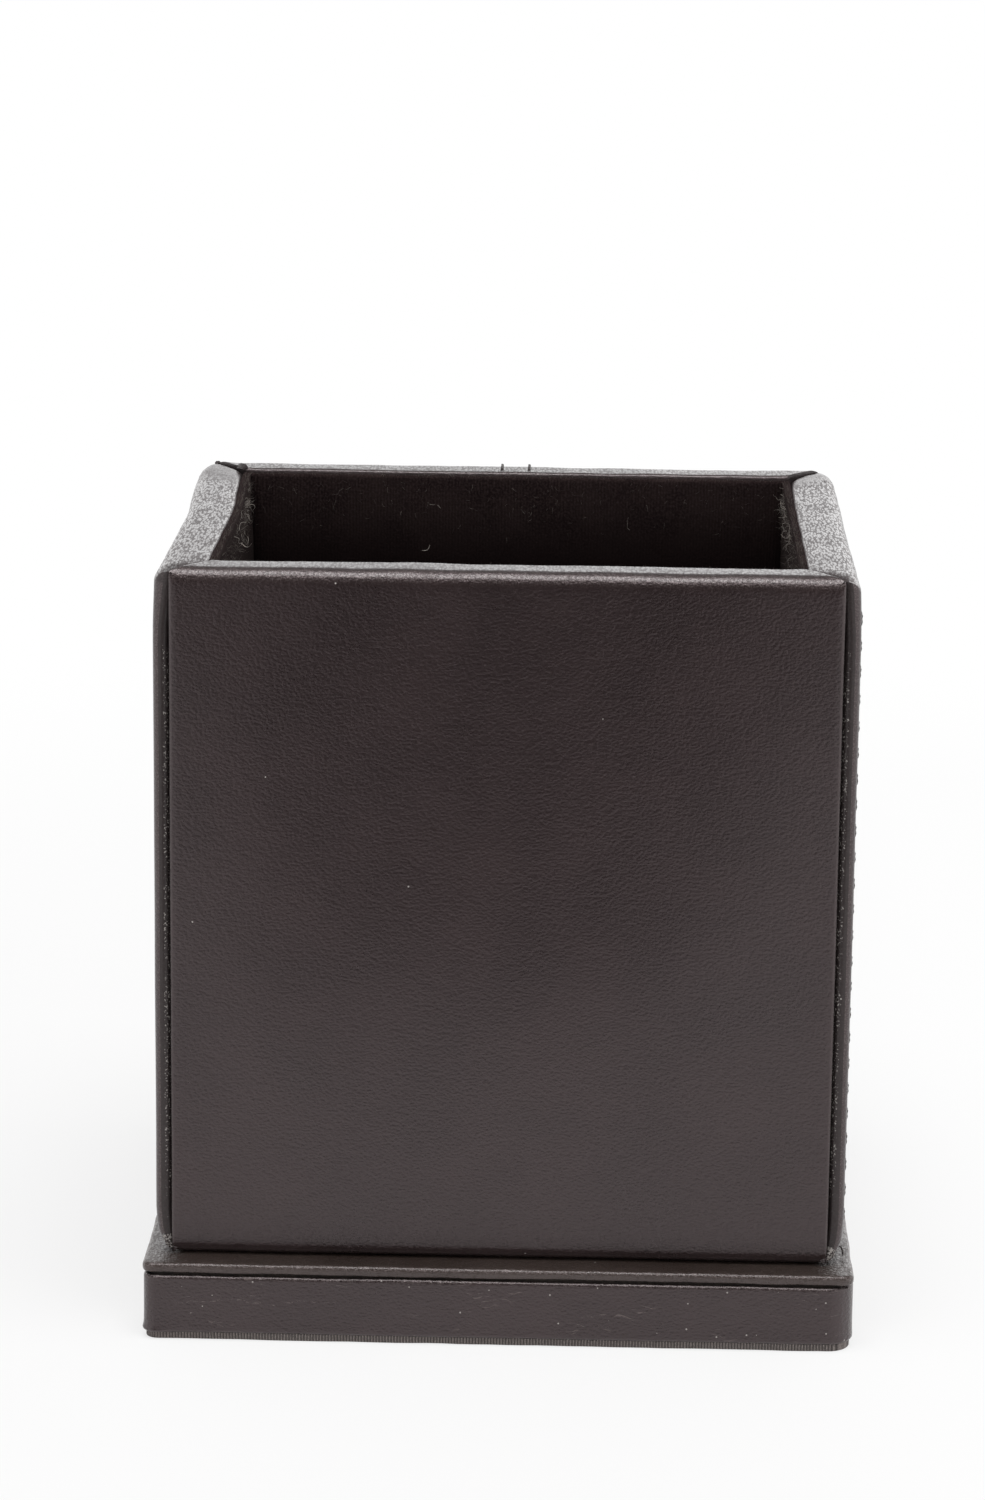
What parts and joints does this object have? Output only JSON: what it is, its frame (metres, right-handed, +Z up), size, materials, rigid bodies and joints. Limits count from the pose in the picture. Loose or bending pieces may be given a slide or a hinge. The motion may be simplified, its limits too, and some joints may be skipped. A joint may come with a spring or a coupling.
{
  "type": "pen box",
  "caption": "Open-topped upright desk box for pens: mitred leather-wrapped walls with a velvet lining, standing on a square leather-banded plinth.",
  "frame": {"origin": "middle of the underside", "axes": "+Z up through the open top, front towards -Y, +X to the right seen from the front"},
  "size_m": [0.09, 0.09, 0.099],
  "materials": {
    "wall_leather": "dark brown smooth leather with a fine grain",
    "plate_leather": "dark brown smooth leather with a fine grain",
    "band_leather": "dark brown leather with scuffs and a light cut edge",
    "velvet": "near-black brown short-pile velvet",
    "board": "plain pressed board",
    "base_cloth": "dark ribbed cloth",
    "thread": "dark twisted sewing thread"
  },
  "bodies": {
    "root": {"front_leather": "wall_leather", "right_leather": "wall_leather", "back_leather": "wall_leather", "left_leather": "wall_leather", "front_board": "board", "right_board": "board", "back_board": "board", "left_board": "board", "floor_board": "board", "plinth_board": "board", "plate_card": "board", "front_lining": "velvet", "right_lining": "velvet", "back_lining": "velvet", "left_lining": "velvet", "floor_lining": "velvet", "plinth_band": "band_leather", "plate_leather": "plate_leather", "base_cloth": "base_cloth", "right_front_stitching": "thread", "right_back_stitching": "thread", "left_front_stitching": "thread", "left_back_stitching": "thread", "back_left_stitching": "thread", "back_right_stitching": "thread"}
  },
  "joints": []
}
